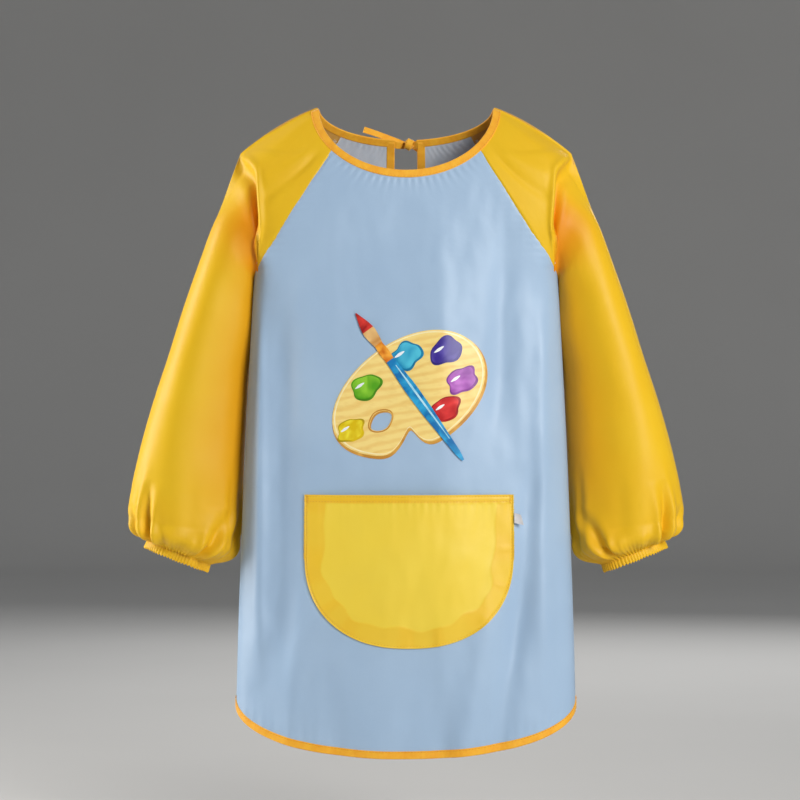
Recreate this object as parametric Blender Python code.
"""A child's back-opening artist smock: raglan sleeves, elastic cuffs, bound edges, a pocket and ties.

Row frame, in metres: +Z up, +X to the wearer's left, the front faces -Y. The origin is under the middle of
the smock, at the height of the lowest point of the hem. Fabric is drawn 1 mm thick. A panel that bends in
use is cut into rigid solids along its flex line: the raglan sleeve into cap, upper and forearm, the back
into panel and flap.
"""

import math

import bmesh
import bpy
from mathutils import Vector

MM = 0.001

# Driving dimensions
NECK_POINT_Z = 652 * MM       # neck edge on the shoulder line
NECK_HALF_WIDTH = 88 * MM
FRONT_NECK_DROP = 66 * MM
BACK_NECK_DROP = 24 * MM
SHOULDER_TIP = (163 * MM, 605 * MM)
ARMPIT_Z = 487 * MM
HEM_HALF_WIDTH = 171.5 * MM
SIDE_TAPER = 18.7 * MM        # each side narrows this much from hem to armpit
HALF_DEPTH_HEM = 52 * MM
HALF_DEPTH_ARMPIT = 46 * MM
ARMHOLE_HALF_DEPTH = 32 * MM
HEM_SIDE_RISE = 50 * MM       # the hem curves up to the side seams
FABRIC = 1.0 * MM
SEAM_GAP = 0.4 * MM           # half the gap between two panels that meet at a seam
FOLD_HALF_DEPTH = 4 * MM      # the shoulder fold is this flat on top
BODY_ROUNDNESS = 2.6          # superellipse exponent of the body's cross-section
CROWN_FALL = 3.25             # how the body thins towards the shoulders

BINDING_WIDTH = 8 * MM
BINDING_WALL = 0.6 * MM
BINDING_CLEARANCE = 0.85 * MM
FRONT_RAGLAN_TOP_X = 70 * MM
BACK_RAGLAN_TOP_X = 62 * MM

BACK_GAP_TOP = 11 * MM        # half the opening between the back edges
BACK_GAP_HEM = 20 * MM
BACK_CORNER = 35 * MM
FLEX_Z = 450 * MM             # back flaps bend below this height
FLEX_X = 128 * MM             # and inside this distance from the middle
FLEX_BINDING_GAP = 2.5 * MM   # the flap's binding stops this far from the bend

TIE_WIDTH = 8 * MM
TIE_THICKNESS = 1.2 * MM
KNOT_X, KNOT_Z = 3 * MM, 617 * MM
KNOT_RADII = (6.5 * MM, 5 * MM, 6.5 * MM)
TIE_LIFT = 2.4 * MM           # from the fabric's face to the middle of a tie
NECK_TIE_LENGTH = 46 * MM
NECK_TIE_SAG = 3 * MM
NECK_TIE_RISE = {-1: math.radians(24), 1: math.radians(-35)}   # how each free end leaves the knot
WAIST_TIE_Z = 360 * MM
WAIST_TIE_LENGTH = 170 * MM
TIE_STEPS = 6                 # sections along a tie

POCKET_CENTRE_X = 3 * MM
POCKET_HALF_WIDTH = 104 * MM
POCKET_TOP_Z = 263 * MM
POCKET_BOTTOM_Z = 111 * MM
POCKET_STRAIGHT = 60 * MM
POCKET_LIFT = 0.8 * MM
POCKET_ROUNDNESS = 2.3

TAG_HINGE = (105.5 * MM, 240 * MM)        # (x, z) beside the pocket's seam
TAG_SIZE = (9 * MM, 0.6 * MM, 13 * MM)
TAG_OUTSET = 2.5 * MM         # from the hinge to the folded tag's inner edge
TAG_LIFT = 2.6 * MM           # from the body's surface to the middle of the tag

PRINT_CENTRE = (2 * MM, 361 * MM)
PRINT_THICKNESS = 0.5 * MM
PRINT_LIFT = 0.5 * MM
PRINT_GAP = 0.4 * MM          # between the two printed films where they cross
PALETTE_HALF_LENGTH = 83 * MM
PALETTE_HALF_WIDTH = 54 * MM
PALETTE_WIDENING = 6 * MM     # half width gained towards the wearer's left
PALETTE_TILT = math.radians(27)
BRUSH_TIP = (-50 * MM, 443 * MM)
BRUSH_END = (56 * MM, 298 * MM)

# Sleeve rings in mm: outer point and inner point as (|x|, z), half depth, distance behind the shoulder line
ELBOW_RING = 3
SLEEVE_RINGS = (
    ((163, 605), (152.8, 487), 32, 0),
    ((190, 535), (155, 470), 33, 2),
    ((216, 466), (157.5, 432), 34, 4),
    ((240, 399), (162, 386), 36, 6),
    ((262, 333), (166, 322), 38, 8),
    ((276, 270), (170, 262), 39, 8),
    ((277, 240), (172, 224), 37, 8),
    ((268, 219), (186, 197), 27, 8),
)
CUFF_OUTER, CUFF_INNER = (263 * MM, 212 * MM), (199 * MM, 187 * MM)
CUFF_HALF_DEPTH = 20 * MM
ELBOW_NOTCH = math.radians(42)

YELLOW = (0.80, 0.52, 0.03)
BLUE = (0.42, 0.55, 0.70)
ORANGE = (0.83, 0.38, 0.03)
WHITE = (0.85, 0.85, 0.88)
WOOD_TONE = (0.85, 0.66, 0.25)
BRUSH_BLUE = (0.05, 0.42, 0.68)


# ---------------------------------------------------------------- the body's surface

def half_width(z):
    """Half the body's width at a height below the armpits."""
    return HEM_HALF_WIDTH - SIDE_TAPER * (max(z, 0.0) / ARMPIT_Z) ** 1.5


ARMPIT_X = half_width(ARMPIT_Z)


def crown(x, reach, roundness=BODY_ROUNDNESS):
    """A superellipse's height at x, as a share of its height in the middle."""
    r = min(abs(x) / reach, 1.0)
    return (1.0 - r**roundness) ** (1.0 / roundness)


def shoulder_z(x):
    """Height of the shoulder line."""
    slope = (NECK_POINT_Z - SHOULDER_TIP[1]) / (SHOULDER_TIP[0] - NECK_HALF_WIDTH)
    return NECK_POINT_Z - (abs(x) - NECK_HALF_WIDTH) * slope


def outline_x(z):
    """Where the body's surface turns over: the armhole crease, then the shoulder line."""
    if z <= SHOULDER_TIP[1]:
        t = (z - ARMPIT_Z) / (SHOULDER_TIP[1] - ARMPIT_Z)
        return ARMPIT_X + t * (SHOULDER_TIP[0] - ARMPIT_X)
    t = (z - SHOULDER_TIP[1]) / (NECK_POINT_Z - SHOULDER_TIP[1])
    return SHOULDER_TIP[0] + t * (NECK_HALF_WIDTH - SHOULDER_TIP[0])


def half_depth(x, z):
    """Distance from the middle plane to the outside of the fabric."""
    if z <= ARMPIT_Z:
        middle = HALF_DEPTH_HEM + (HALF_DEPTH_ARMPIT - HALF_DEPTH_HEM) * max(z, 0.0) / ARMPIT_Z
        return middle * crown(x, half_width(z))
    rise = (z - ARMPIT_Z) / (NECK_POINT_Z + 6 * MM - ARMPIT_Z)
    middle = HALF_DEPTH_ARMPIT * (1.0 - min(rise, 1.0) ** CROWN_FALL)
    armhole_half = (SHOULDER_TIP[1] - ARMPIT_Z) / 2
    offset = (z - ARMPIT_Z - armhole_half) / armhole_half
    edge = ARMHOLE_HALF_DEPTH * math.sqrt(max(0.0, 1.0 - offset * offset))
    edge = min(edge, middle)
    depth = edge + (middle - edge) * crown(x, outline_x(z))
    return max(depth, min(FOLD_HALF_DEPTH, (z - ARMPIT_Z)))


def on_body(x, z, side):
    """The point of the body's surface at x, z. side is -1 for the front and +1 for the back."""
    z = min(z, shoulder_z(x)) if abs(x) >= NECK_HALF_WIDTH else z
    return Vector((x, side * half_depth(x, z), z))


def neck_edge(angle, drop):
    """Raw neck edge, as (x, z), for an angle from the centre line."""
    return NECK_HALF_WIDTH * math.sin(angle), NECK_POINT_Z - drop * math.cos(angle)


def hem_z(x, side_reach=HEM_HALF_WIDTH):
    """Height of the raw hem edge above the lowest point of its binding."""
    r = min(abs(x) / side_reach, 1.0)
    lowest = BINDING_CLEARANCE + BINDING_WALL
    return lowest + HEM_SIDE_RISE * (1.0 - math.sqrt(max(0.0, 1.0 - r**2.2)))


def round_share(share):
    """Distance from the middle, as a share of the reach, for an even turn round the cross-section."""
    return math.copysign(math.sin(abs(share) * math.pi / 2) ** (2 / BODY_ROUNDNESS), share)


def turn_share(distance):
    """The inverse of round_share for distances from 0 to 1: the share of a quarter turn."""
    return math.asin(distance ** (BODY_ROUNDNESS / 2)) / (math.pi / 2)


def hem_point(share, side, up=0.0):
    """A point of the raw hem, or above it, for a share of a quarter turn round the cross-section."""
    across = round_share(share)
    z = hem_z(across * HEM_HALF_WIDTH) + up
    return on_body(across * half_width(z), z, side)


def hem_edge(share, side):
    """Edge and inner point for a binding on the hem."""
    return hem_point(share, side), hem_point(share, side, BINDING_WIDTH)


def back_edge_x(z):
    """Half the back opening at a height."""
    share = max(0.0, min(z / NECK_POINT_Z, 1.0))
    return BACK_GAP_HEM + (BACK_GAP_TOP - BACK_GAP_HEM) * share


# ---------------------------------------------------------------- building helpers

def clear_scene():
    for obj in list(bpy.data.objects):
        bpy.data.objects.remove(obj)


def material(name, colour, roughness):
    made = bpy.data.materials.get(name)
    if made is None:
        made = bpy.data.materials.new(name)
        made.use_nodes = True
        shader = made.node_tree.nodes["Principled BSDF"]
        shader.inputs["Base Color"].default_value = (*colour, 1.0)
        shader.inputs["Roughness"].default_value = roughness
        shader.inputs["Metallic"].default_value = 0.0
    return made


def add_object(name, bm, look, origin=(0, 0, 0)):
    """Turns a bmesh in world space into an object whose origin is at the given point."""
    bmesh.ops.translate(bm, verts=bm.verts, vec=-Vector(origin))
    mesh = bpy.data.meshes.new(name)
    bm.to_mesh(mesh)
    bm.free()
    mesh.shade_smooth()
    mesh.set_sharp_from_angle(angle=math.radians(40))
    obj = bpy.data.objects.new(name, mesh)
    obj.location = origin
    mesh.materials.append(look)
    bpy.context.scene.collection.objects.link(obj)
    return obj


def sheet(name, rows, look, origin=(0, 0, 0), closed=False, flip=False, thickness=FABRIC):
    """A fabric sheet from a grid of points, thickened inwards.

    closed joins each row's ends. A None in the grid leaves a hole.
    """
    bm = bmesh.new()
    grid = [[p and bm.verts.new(p) for p in row] for row in rows]
    columns = len(grid[0])
    for low, high in zip(grid, grid[1:]):
        for i in range(columns if closed else columns - 1):
            j = (i + 1) % columns
            corners = [low[i], low[j], high[j], high[i]]
            if all(corners):
                bm.faces.new(reversed(corners) if flip else corners)
    obj = add_object(name, bm, look, origin)
    solidify = obj.modifiers.new("fabric", "SOLIDIFY")
    solidify.thickness = thickness
    solidify.offset = -1.0
    solidify.use_even_offset = True
    solidify.use_rim = True
    return obj


def sweep(name, sections, look, origin=(0, 0, 0), closed=False):
    """A solid through a list of equal closed sections, capped at its ends unless it is closed."""
    bm = bmesh.new()
    rings = [[bm.verts.new(p) for p in section] for section in sections]
    count = len(rings[0])
    pairs = list(zip(rings, rings[1:])) + ([(rings[-1], rings[0])] if closed else [])
    for a, b in pairs:
        for i in range(count):
            j = (i + 1) % count
            bm.faces.new([a[i], a[j], b[j], b[i]])
    if not closed:
        bm.faces.new(reversed(rings[0]))
        bm.faces.new(rings[-1])
    bmesh.ops.recalc_face_normals(bm, faces=bm.faces)
    return add_object(name, bm, look, origin)


def fold_section(edge, inward, outside):
    """A binding's folded section at a fabric edge: inward into the fabric, outside away from its face."""
    web, lip = -BINDING_CLEARANCE, BINDING_WIDTH
    face, back = BINDING_CLEARANCE, -FABRIC - BINDING_CLEARANCE
    corners = (
        (lip, face), (lip, face + BINDING_WALL), (web - BINDING_WALL, face + BINDING_WALL),
        (web - BINDING_WALL, back - BINDING_WALL), (lip, back - BINDING_WALL), (lip, back),
        (web, back), (web, face),
    )
    return [edge + inward * s + outside * h for s, h in corners]


def binding(name, edges, look, origin=(0, 0, 0)):
    """A folded tape along a fabric edge. edges is a list of (edge point, point further into the fabric)."""
    points = [e for e, _ in edges]
    runs = [b - a for a, b in zip(points, points[1:])]
    sections = []
    for (edge, inner), before, after in zip(edges, runs[:1] + runs, runs + runs[-1:]):
        inward = (inner - edge).normalized()
        face_before, face_after = before.cross(inward).normalized(), after.cross(inward).normalized()
        mitre = (face_before + face_after) / (1.0 + face_before.dot(face_after))
        sections.append(fold_section(edge, inward, mitre))
    return sweep(name, sections, look, origin)


def strip(name, path, across, width, thickness, look, origin=(0, 0, 0)):
    """A flat tape along a path. across is the tape's width direction."""
    sections = []
    for i, point in enumerate(path):
        along = (path[min(i + 1, len(path) - 1)] - path[max(i - 1, 0)]).normalized()
        wide = (across - along * across.dot(along)).normalized() * (width / 2)
        thick = along.cross(wide).normalized() * (thickness / 2)
        corners = (wide + thick, thick - wide, -wide - thick, wide - thick)
        sections.append([point + corner for corner in corners])
    return sweep(name, sections, look, origin)


def spread(count):
    """count + 1 shares from 0 to 1."""
    return [i / count for i in range(count + 1)]


def between(start, end, share):
    return start + (end - start) * share


def joint_empty(name, location):
    empty = bpy.data.objects.new(name, None)
    empty.location = location
    bpy.context.scene.collection.objects.link(empty)
    return empty


def hang_on(parent, *objects):
    """Parents objects to an empty without moving them."""
    bpy.context.view_layer.update()
    for obj in objects:
        obj.parent = parent
        obj.matrix_parent_inverse = parent.matrix_world.inverted()


# ---------------------------------------------------------------- panels

FRONT_STEPS = 9           # columns from the middle of the front to a side seam
SIDE_STRIP_STEPS = 4
HEM_LIP_LEVEL = 0.022
YOKE_LEVELS = (0.0, 0.18, 0.38, 0.55, 0.68, 0.79, 0.87, 0.94, 1.0)
CAP_LEVELS = (0.0, 0.1, 0.25, 0.45, 0.65, 0.85, 1.0)
CAP_SHARES = (0.0, 0.2, 0.4, 0.6, 0.8, 1.0)    # columns from a raglan seam to the shoulder fold
NECK_STEPS = 5            # sections from the middle to a raglan seam
HEM_ROWS = 9              # rows of the front panel and of a flap up from the hem
STRIP_ROWS = 7            # rows of the strip beside a flap
FLAP_STEPS = 8            # columns across a flap
YOKE_STEPS = 6            # columns across the yoke above a flap
EDGE_STEPS = 6            # sections along each run of a flap's bound edge
YOKE_EDGE_STEPS = 12


def hem_levels(count):
    """Shares of a panel's height, with one more row at the lip of the hem's binding."""
    shares = spread(count)
    return shares[:1] + [HEM_LIP_LEVEL] + shares[1:]


def side_seam_share(z):
    """The share of a quarter turn at which the surface comes within a seam gap of the middle plane."""
    depth = HALF_DEPTH_HEM + (HALF_DEPTH_ARMPIT - HALF_DEPTH_HEM) * z / ARMPIT_Z
    return math.acos((SEAM_GAP / depth) ** (BODY_ROUNDNESS / 2)) / (math.pi / 2)


def front_raglan_angle():
    return math.asin(FRONT_RAGLAN_TOP_X / NECK_HALF_WIDTH)


def back_raglan_angle():
    return math.asin(BACK_RAGLAN_TOP_X / NECK_HALF_WIDTH)


def front_panel(look):
    columns = [i / FRONT_STEPS for i in range(-FRONT_STEPS, FRONT_STEPS + 1)]
    seam = side_seam_share(ARMPIT_Z / 2)
    rows = []
    for level in hem_levels(HEM_ROWS):
        row = []
        for c in columns:
            across = round_share(c * seam)
            low = hem_z(across * HEM_HALF_WIDTH)
            z = between(low, ARMPIT_Z, level)
            row.append(on_body(across * half_width(z), z, -1))
        rows.append(row)
    top_x, top_z = neck_edge(front_raglan_angle(), FRONT_NECK_DROP)
    for out in CAP_LEVELS[-2::-1]:
        level = 1.0 - out
        reach = between(ARMPIT_X, top_x, level) - SEAM_GAP
        row = []
        for c in columns:
            across = round_share(c * seam)
            top = NECK_POINT_Z - FRONT_NECK_DROP * math.sqrt(1 - (across * top_x / NECK_HALF_WIDTH) ** 2)
            row.append(on_body(across * reach, between(ARMPIT_Z, top, level), -1))
        rows.append(row)
    return sheet("front_panel", rows, look)


CORNER_X = back_edge_x(BACK_CORNER) + BACK_CORNER    # centre of the flap's round corner
CORNER_Z = hem_z(CORNER_X) + BACK_CORNER


def back_hem_z(x):
    """Raw hem of a back flap, with a round corner at the opening."""
    if x >= CORNER_X:
        return hem_z(x)
    return CORNER_Z - math.sqrt(max(0.0, BACK_CORNER**2 - (CORNER_X - x) ** 2))


def back_flap(side, name, look, origin):
    """The part of a back panel inside its flex lines. side is -1 for the wearer's right."""
    outer = FLEX_X - SEAM_GAP
    hem_inner = CORNER_X - BACK_CORNER
    rows = []
    for level in hem_levels(HEM_ROWS):
        row = []
        for share in spread(FLAP_STEPS):
            low = back_hem_z(between(hem_inner, outer, share))
            z = between(low, FLEX_Z - SEAM_GAP, level)
            row.append(on_body(side * between(back_edge_x(z), outer, share), z, 1))
        rows.append(row)
    return sheet(name, rows, look, origin, flip=side > 0)


def side_columns(z, reach):
    """Distances from the middle across the strip between a flap's flex line and the side seam."""
    first = turn_share((FLEX_X + SEAM_GAP) / reach)
    last = side_seam_share(z)
    return [round_share(between(first, last, share)) * reach for share in spread(SIDE_STRIP_STEPS)]


def back_panel(side, name, look):
    """A back panel without its flap: the strip along the side seam and the yoke under the neck binding."""
    flex_row = FLEX_Z + SEAM_GAP
    inner = back_edge_x(flex_row)
    open_columns = [between(inner, FLEX_X + SEAM_GAP, share) for share in spread(YOKE_STEPS)[:-1]]
    flex_columns = open_columns + side_columns(flex_row, half_width(flex_row))
    hem_columns = side_columns(0.0, HEM_HALF_WIDTH)
    rows = []
    for level in hem_levels(STRIP_ROWS)[:-1]:
        row = [None] * len(open_columns)
        for i, hem_x in enumerate(hem_columns):
            z = between(hem_z(hem_x), flex_row, level)
            row.append(on_body(side * side_columns(z, half_width(z))[i], z, 1))
        rows.append(row)
    for level in YOKE_LEVELS:
        row = []
        for flex_x in flex_columns:
            share = (flex_x - inner) / (flex_columns[-1] - inner)
            end_x = between(BACK_GAP_TOP, BACK_RAGLAN_TOP_X, share)
            top = NECK_POINT_Z - BACK_NECK_DROP * math.sqrt(1 - (end_x / NECK_HALF_WIDTH) ** 2)
            z = between(flex_row, top, level)
            if z <= ARMPIT_Z:
                reach = half_width(z) * round_share(side_seam_share(z))
            else:
                rise = (z - ARMPIT_Z) / (top - ARMPIT_Z)
                reach = between(ARMPIT_X, BACK_RAGLAN_TOP_X, rise) - SEAM_GAP
            row.append(on_body(side * between(back_edge_x(z), reach, share), z, 1))
        rows.append(row)
    return sheet(name, rows, look, flip=side > 0)


def cap_point(side, face, share, out):
    """A point of the cap: share runs from a raglan seam to the shoulder fold, out from neck to armhole."""
    drop = FRONT_NECK_DROP if face < 0 else BACK_NECK_DROP
    start = front_raglan_angle() if face < 0 else back_raglan_angle()
    neck_x, neck_z = neck_edge(between(start, math.pi / 2, share), drop)
    crease_z = between(ARMPIT_Z, SHOULDER_TIP[1], share)
    x = between(neck_x, outline_x(crease_z) - SEAM_GAP, out)
    return on_body(side * x, between(neck_z, crease_z, out), face)


def sleeve_cap(side, name, look):
    """The raglan sleeve from neck to armhole, folded over the shoulder."""
    rows = []
    for out in CAP_LEVELS:
        front, back = ([cap_point(side, face, share, out) for share in CAP_SHARES] for face in (-1, 1))
        for half in (front, back):
            half[0].x += side * SEAM_GAP
        rows.append(front + back[::-1])
    return sheet(name, rows, look, flip=side > 0)


# ---------------------------------------------------------------- sleeves and cuffs

RING_POINTS = 20


def ring(outer, inner, depth, back, side):
    """An elliptical sleeve ring from its outer and inner (|x|, z) points."""
    middle = Vector((side * (outer[0] + inner[0]) / 2, back, (outer[1] + inner[1]) / 2))
    reach = Vector((side * (outer[0] - inner[0]) / 2, 0, (outer[1] - inner[1]) / 2))
    points = []
    for i in range(RING_POINTS):
        a = math.tau * i / RING_POINTS
        points.append(middle + reach * math.cos(a) + Vector((0, depth * math.sin(a), 0)))
    return points


def sleeve_ring(index, side):
    outer, inner, depth, back = SLEEVE_RINGS[index]
    return ring([v * MM for v in outer], [v * MM for v in inner], depth * MM, back * MM, side)


def notched(points, back, direction):
    """Cuts a ring's front half away from the elbow axis, so that the forearm can fold forward."""
    moved = []
    for p in points:
        front = max(0.0, back - p.y)
        moved.append(p + Vector((0, 0, direction * (front * math.tan(ELBOW_NOTCH) + SEAM_GAP))))
    return moved


def sleeve_upper(side, name, look, origin):
    first = [p + Vector((side * 2 * SEAM_GAP, 0, 0)) for p in sleeve_ring(0, side)]
    elbow_back = SLEEVE_RINGS[ELBOW_RING][3] * MM
    last = notched(sleeve_ring(ELBOW_RING, side), elbow_back, 1)
    rows = [first] + [sleeve_ring(i, side) for i in range(1, ELBOW_RING)] + [last]
    return sheet(name, rows, look, origin, closed=True, flip=side > 0)


def sleeve_forearm(side, name, look, origin):
    elbow_back = SLEEVE_RINGS[ELBOW_RING][3] * MM
    first = notched(sleeve_ring(ELBOW_RING, side), elbow_back, -1)
    rows = [first] + [sleeve_ring(i, side) for i in range(ELBOW_RING + 1, len(SLEEVE_RINGS))]
    return sheet(name, rows, look, origin, closed=True, flip=side > 0)


def cuff_frames(side):
    """Points round the cuff with their outward and down-the-sleeve directions."""
    points = ring(CUFF_OUTER, CUFF_INNER, CUFF_HALF_DEPTH, SLEEVE_RINGS[-1][3] * MM, side)
    middle = sum(points, Vector()) / len(points)
    along = Vector((side * (CUFF_OUTER[0] - CUFF_INNER[0]), 0, CUFF_OUTER[1] - CUFF_INNER[1])).normalized()
    down = Vector((side * abs(along.z), 0, -abs(along.x)))
    return [(p, (p - middle).normalized(), down) for p in points]


CASING_DEPTH = 9 * MM
CASING_WALL = 0.8 * MM
ELASTIC_WIDTH = 6 * MM
ELASTIC_THICKNESS = 1.0 * MM


def cuff_casing(side, name, look, origin):
    """The sleeve's end, turned up into a channel for the elastic. The channel is open at its top."""
    room = ELASTIC_THICKNESS + 2 * SEAM_GAP
    floor = CASING_DEPTH - CASING_WALL
    corners = (
        (0, 0), (0, CASING_WALL), (CASING_DEPTH, CASING_WALL), (CASING_DEPTH, -room - CASING_WALL),
        (0, -room - CASING_WALL), (0, -room), (floor, -room), (floor, 0),
    )
    sections = []
    for p, out, down in cuff_frames(side):
        sections.append([p + down * (s - CASING_DEPTH / 2) + out * h for s, h in corners])
    return sweep(name, sections, look, origin, closed=True)


def cuff_elastic(side, name, look, origin):
    """The flat elastic ring inside the casing."""
    top = -ELASTIC_WIDTH / 2 - SEAM_GAP
    low = top + ELASTIC_WIDTH
    face, back = -SEAM_GAP, -SEAM_GAP - ELASTIC_THICKNESS
    corners = ((top, face), (low, face), (low, back), (top, back))
    sections = []
    for p, out, down in cuff_frames(side):
        sections.append([p + down * s + out * h for s, h in corners])
    return sweep(name, sections, look, origin, closed=True)


# ---------------------------------------------------------------- bindings and ties

def neck_half(side):
    """Edge and inner points round one half of the neck, from the centre front to the back opening."""
    opening = math.asin(BACK_GAP_TOP / NECK_HALF_WIDTH)
    front = neck_quarter(side, -1, FRONT_NECK_DROP, 0.0, front_raglan_angle())
    back = neck_quarter(side, 1, BACK_NECK_DROP, opening, back_raglan_angle())
    return front + back[::-1]


def neck_quarter(side, face, drop, first, raglan):
    """Edge and inner points of the front or back of the neck on one side, up to the shoulder fold."""
    edges = []
    for angle in [between(first, raglan, share) for share in spread(NECK_STEPS)]:
        x, z = neck_edge(angle, drop)
        normal = Vector((math.sin(angle) / NECK_HALF_WIDTH, -math.cos(angle) / drop)).normalized()
        inner_x, inner_z = x + normal.x * BINDING_WIDTH, z + normal.y * BINDING_WIDTH
        edges.append((on_body(side * x, z, face), on_body(side * inner_x, inner_z, face)))
    for share in CAP_SHARES[1:]:
        edges.append((cap_point(side, face, share, 0.0), cap_point(side, face, share, CAP_LEVELS[1])))
    return edges


def neck_binding(look):
    right, left = neck_half(-1), neck_half(1)
    return binding("neck_binding", left[::-1] + right[1:], look)


def hem_binding(look):
    """The hem's tape, from one flap's flex line round both side seams and the front to the other."""
    beside_flap = turn_share((FLEX_X + 2 * SEAM_GAP) / HEM_HALF_WIDTH)
    back = [between(beside_flap, 1.0, share) for share in spread(SIDE_STRIP_STEPS)]
    front = [i / FRONT_STEPS for i in range(1 - FRONT_STEPS, FRONT_STEPS)]
    edges = [hem_edge(-c, 1) for c in back]
    edges += [hem_edge(c, -1) for c in front]
    edges += [hem_edge(c, 1) for c in reversed(back)]
    return binding("hem_binding", edges, look)


def flap_edge(side):
    """Edge and inner points of a back flap, from its flex line along the hem and up the opening."""
    edges = []
    first = turn_share((FLEX_X - FLEX_BINDING_GAP) / HEM_HALF_WIDTH)
    last = turn_share(CORNER_X / HEM_HALF_WIDTH)
    for share in spread(EDGE_STEPS):
        edges.append(hem_edge(side * between(first, last, share), 1))
    reach = BACK_CORNER - BINDING_WIDTH
    for share in spread(EDGE_STEPS)[1:]:
        turn = share * math.pi / 2
        x, z = CORNER_X - BACK_CORNER * math.sin(turn), CORNER_Z - BACK_CORNER * math.cos(turn)
        inner_x, inner_z = CORNER_X - reach * math.sin(turn), CORNER_Z - reach * math.cos(turn)
        edges.append((on_body(side * x, z, 1), on_body(side * inner_x, inner_z, 1)))
    top = FLEX_Z - SEAM_GAP
    for share in spread(EDGE_STEPS)[1:]:
        z = between(CORNER_Z, top, share)
        x = back_edge_x(z)
        edges.append((on_body(side * x, z, 1), on_body(side * (x + BINDING_WIDTH), z, 1)))
    return edges


def yoke_edge(side):
    """Edge and inner points of a back yoke at the opening, up to the neck binding's lower edge."""
    edges = []
    bottom = FLEX_Z + SEAM_GAP
    top = NECK_POINT_Z - BACK_NECK_DROP - BINDING_WIDTH - 2 * BINDING_CLEARANCE
    for share in spread(YOKE_EDGE_STEPS):
        z = between(bottom, top, share)
        x = back_edge_x(z)
        edges.append((on_body(side * x, z, 1), on_body(side * (x + BINDING_WIDTH), z, 1)))
    return edges


def ordered(edges, side):
    """Lists an edge so that the folded section's face lies outside on both sides of the smock."""
    return edges if side > 0 else edges[::-1]


def neck_knot(look):
    """The overhand knot that joins the two neck tapes across the opening."""
    bm = bmesh.new()
    bmesh.ops.create_icosphere(bm, subdivisions=2, radius=1.0)
    depth = half_depth(0, KNOT_Z) + 1.0 * MM
    bmesh.ops.scale(bm, verts=bm.verts, vec=KNOT_RADII)
    bmesh.ops.translate(bm, verts=bm.verts, vec=(KNOT_X, depth, KNOT_Z))
    return add_object("neck_knot", bm, look)


def over_back(x, z, least_y=0.0):
    """A point where a tie lies just clear of the back, no further forward than least_y."""
    lower_edge = z - TIE_WIDTH / 2
    return Vector((x, max(least_y, half_depth(x, lower_edge) + TIE_LIFT), z))


def neck_tie(side, name, look):
    """A free tape end that leaves the knot on its outside. Its origin is on its swing axis."""
    start_y = half_depth(0, KNOT_Z) + KNOT_RADII[1] + TIE_LIFT
    start_x = KNOT_X + side * TIE_WIDTH / 2
    rise = NECK_TIE_RISE[side]
    path = []
    for share in spread(TIE_STEPS):
        reach = NECK_TIE_LENGTH * share
        x = start_x + side * reach * math.cos(rise)
        z = KNOT_Z + reach * math.sin(rise) - NECK_TIE_SAG * share * share
        path.append(over_back(x, z, start_y))
    return strip(name, path, Vector((0, 0, 1)), TIE_WIDTH, TIE_THICKNESS, look, path[0])


def waist_tie(side, name, look):
    """A free tape that hangs from the opening's edge at the waist. Its origin is on its swing axis."""
    x = side * (back_edge_x(WAIST_TIE_Z) + BINDING_WIDTH / 2)
    path = [over_back(x, WAIST_TIE_Z - WAIST_TIE_LENGTH * share) for share in spread(TIE_STEPS)]
    return strip(name, path, Vector((1, 0, 0)), TIE_WIDTH, TIE_THICKNESS, look, path[0])


# ---------------------------------------------------------------- pocket, tag and print

POCKET_ROWS = 9
POCKET_STEPS = 7              # columns from the pocket's middle to its side
PALETTE_POINTS = 36
FILM_CELL = 20 * MM           # a printed film is cut this fine, so that it follows the body's curve
# (share of the brush's length from the bristles' tip, half width in mm)
BRUSH_PROFILE = (
    (0.0, 0.6), (0.06, 3.0), (0.14, 6.5), (0.2, 7.5), (0.27, 4.5), (0.6, 6.0), (0.85, 5.0), (1.0, 1.5),
)


def pocket(look, origin):
    """The patch pocket: straight sides, a round bottom and an open top."""
    curve_height = POCKET_TOP_Z - POCKET_STRAIGHT - POCKET_BOTTOM_Z
    rows = []
    for level in spread(POCKET_ROWS):
        row = []
        for i in range(-POCKET_STEPS, POCKET_STEPS + 1):
            across = math.sin(i / POCKET_STEPS * math.pi / 2)
            x = POCKET_CENTRE_X + across * POCKET_HALF_WIDTH
            low = POCKET_TOP_Z - POCKET_STRAIGHT - curve_height * crown(across, 1.0, POCKET_ROUNDNESS)
            z = between(low, POCKET_TOP_Z, level)
            row.append(on_body(x, z, -1) + Vector((0, -POCKET_LIFT - FABRIC, 0)))
        rows.append(row)
    return sheet("pocket", rows, look, origin)


def pocket_tag(look):
    """The folded fabric tag in the pocket's side seam, left blank."""
    x, z = TAG_HINGE
    origin = Vector((x + TAG_OUTSET, -half_depth(x, z) - TAG_LIFT, z))
    bm = bmesh.new()
    bmesh.ops.create_cube(bm, size=1.0)
    bmesh.ops.scale(bm, verts=bm.verts, vec=TAG_SIZE)
    bmesh.ops.translate(bm, verts=bm.verts, vec=origin + Vector((TAG_SIZE[0] / 2, 0, 0)))
    return add_object("pocket_tag", bm, look, origin)


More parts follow.
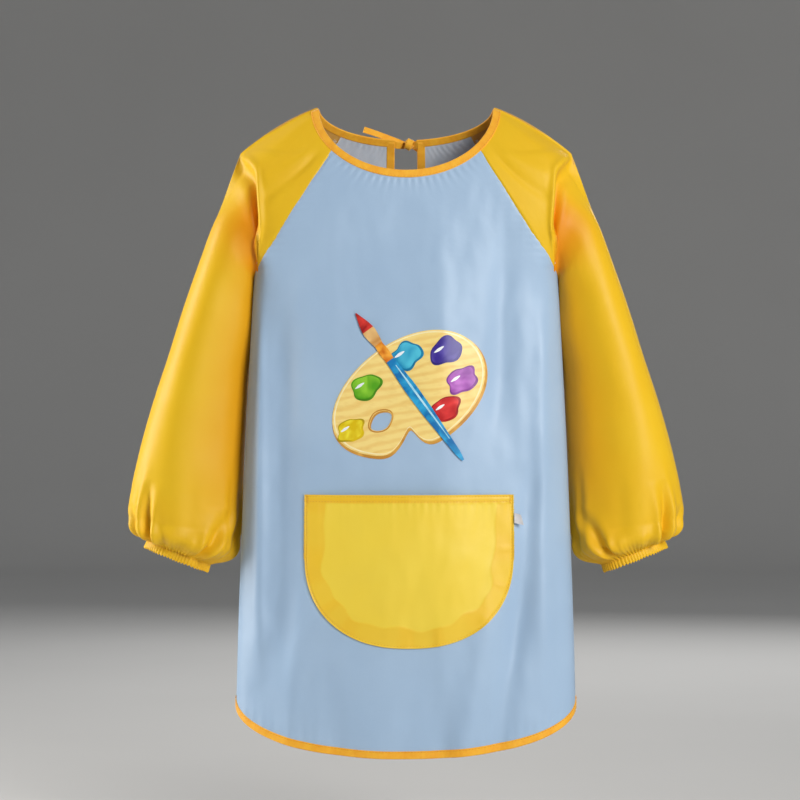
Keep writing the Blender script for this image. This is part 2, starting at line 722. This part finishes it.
def plate_on_front(name, outline, lift, look):
    """A thin printed film on the front panel, from a closed outline of (x, z) points."""
    bm = bmesh.new()
    bm.faces.new([bm.verts.new((x, 0, z)) for x, z in outline])
    low = [min(p[k] for p in outline) for k in (0, 1)]
    high = [max(p[k] for p in outline) for k in (0, 1)]
    for k, normal in ((0, (1, 0, 0)), (1, (0, 0, 1))):
        steps = max(2, int((high[k] - low[k]) / FILM_CELL))
        for i in range(1, steps):
            at = between(low[k], high[k], i / steps)
            cut = (at, 0, 0) if k == 0 else (0, 0, at)
            geometry = bm.verts[:] + bm.edges[:] + bm.faces[:]
            bmesh.ops.bisect_plane(bm, geom=geometry, plane_co=cut, plane_no=normal, dist=1e-6)
    for v in bm.verts:
        v.co.y = -half_depth(v.co.x, v.co.z) - lift
    bm.normal_update()
    if sum(f.normal.y for f in bm.faces) > 0:
        bmesh.ops.reverse_faces(bm, faces=bm.faces)
    obj = add_object(name, bm, look)
    solidify = obj.modifiers.new("film", "SOLIDIFY")
    solidify.thickness = PRINT_THICKNESS
    solidify.offset = 1.0
    solidify.use_rim = True
    return obj


def palette_print(look):
    """The printed palette: an egg-shaped board, wider towards the wearer's left."""
    outline = []
    for i in range(PALETTE_POINTS):
        a = math.tau * i / PALETTE_POINTS
        along = PALETTE_HALF_LENGTH * math.cos(a)
        across = (PALETTE_HALF_WIDTH + PALETTE_WIDENING * math.cos(a)) * math.sin(a)
        x = PRINT_CENTRE[0] + along * math.cos(PALETTE_TILT) - across * math.sin(PALETTE_TILT)
        z = PRINT_CENTRE[1] + along * math.sin(PALETTE_TILT) + across * math.cos(PALETTE_TILT)
        outline.append((x, z))
    return plate_on_front("palette_print", outline, PRINT_LIFT, look)


def brush_print(look):
    """The printed brush, laid across the palette: its bristles point up and to the wearer's right."""
    tip, end = Vector(BRUSH_TIP), Vector(BRUSH_END)
    along = (end - tip).normalized()
    across = Vector((-along.y, along.x))
    length = (end - tip).length
    one_edge = [tip + along * (length * s) + across * (w * MM) for s, w in BRUSH_PROFILE]
    other_edge = [tip + along * (length * s) - across * (w * MM) for s, w in BRUSH_PROFILE]
    outline = [(p.x, p.y) for p in one_edge + other_edge[::-1]]
    lift = PRINT_LIFT + PRINT_THICKNESS + PRINT_GAP
    return plate_on_front("brush_print", outline, lift, look)


# ---------------------------------------------------------------- assembly

def flap_hinge(side):
    """A point on a back flap's flex line, half way up."""
    z = FLEX_Z / 2
    return Vector((side * FLEX_X, half_depth(FLEX_X, z), z))


def elbow_point(side):
    outer, inner, _, back = SLEEVE_RINGS[ELBOW_RING]
    return Vector((side * (outer[0] + inner[0]) / 2, back, (outer[1] + inner[1]) / 2)) * MM


def build_side(side, label, looks):
    """Everything that exists once on each side. label is the wearer's right or left."""
    blue, yellow, orange, white = looks
    sleeve_cap(side, f"sleeve_cap_{label}", yellow)
    back_panel(side, f"back_panel_{label}", blue)
    binding(f"yoke_edge_binding_{label}", ordered(yoke_edge(side), side), orange)

    flap_at = flap_hinge(side)
    flap = back_flap(side, f"back_flap_{label}", blue, flap_at)
    flap_edging = binding(f"flap_edge_binding_{label}", ordered(flap_edge(side), side), orange, flap_at)
    tie = waist_tie(side, f"waist_tie_{label}", orange)
    flap_joint = joint_empty(f"flap_joint_{label}", flap_at)
    hang_on(flap_joint, flap, flap_edging, tie)

    shoulder_at = Vector((side * SHOULDER_TIP[0], 0, SHOULDER_TIP[1]))
    elbow_at = elbow_point(side)
    upper = sleeve_upper(side, f"sleeve_upper_{label}", yellow, shoulder_at)
    forearm = sleeve_forearm(side, f"sleeve_forearm_{label}", yellow, elbow_at)
    casing = cuff_casing(side, f"cuff_casing_{label}", yellow, elbow_at)
    elastic = cuff_elastic(side, f"cuff_elastic_{label}", white, elbow_at)
    shoulder_joint = joint_empty(f"shoulder_joint_{label}", shoulder_at)
    elbow_joint = joint_empty(f"elbow_joint_{label}", elbow_at)
    hang_on(elbow_joint, forearm, casing, elastic)
    hang_on(shoulder_joint, upper, elbow_joint)

    neck_tie(side, f"neck_tie_{label}", orange)


def main():
    clear_scene()
    blue = material("body_fabric", BLUE, 0.45)
    yellow = material("sleeve_fabric", YELLOW, 0.45)
    orange = material("binding_tape", ORANGE, 0.6)
    white = material("white_tape", WHITE, 0.7)

    front_panel(blue)
    neck_binding(orange)
    hem_binding(orange)
    neck_knot(orange)
    for side, label in ((-1, "right"), (1, "left")):
        build_side(side, label, (blue, yellow, orange, white))
    pocket(yellow, Vector((POCKET_CENTRE_X, -half_depth(0, POCKET_BOTTOM_Z) - POCKET_LIFT, POCKET_BOTTOM_Z)))
    pocket_tag(white)
    palette_print(material("print_wood", WOOD_TONE, 0.35))
    brush_print(material("print_blue", BRUSH_BLUE, 0.35))


main()
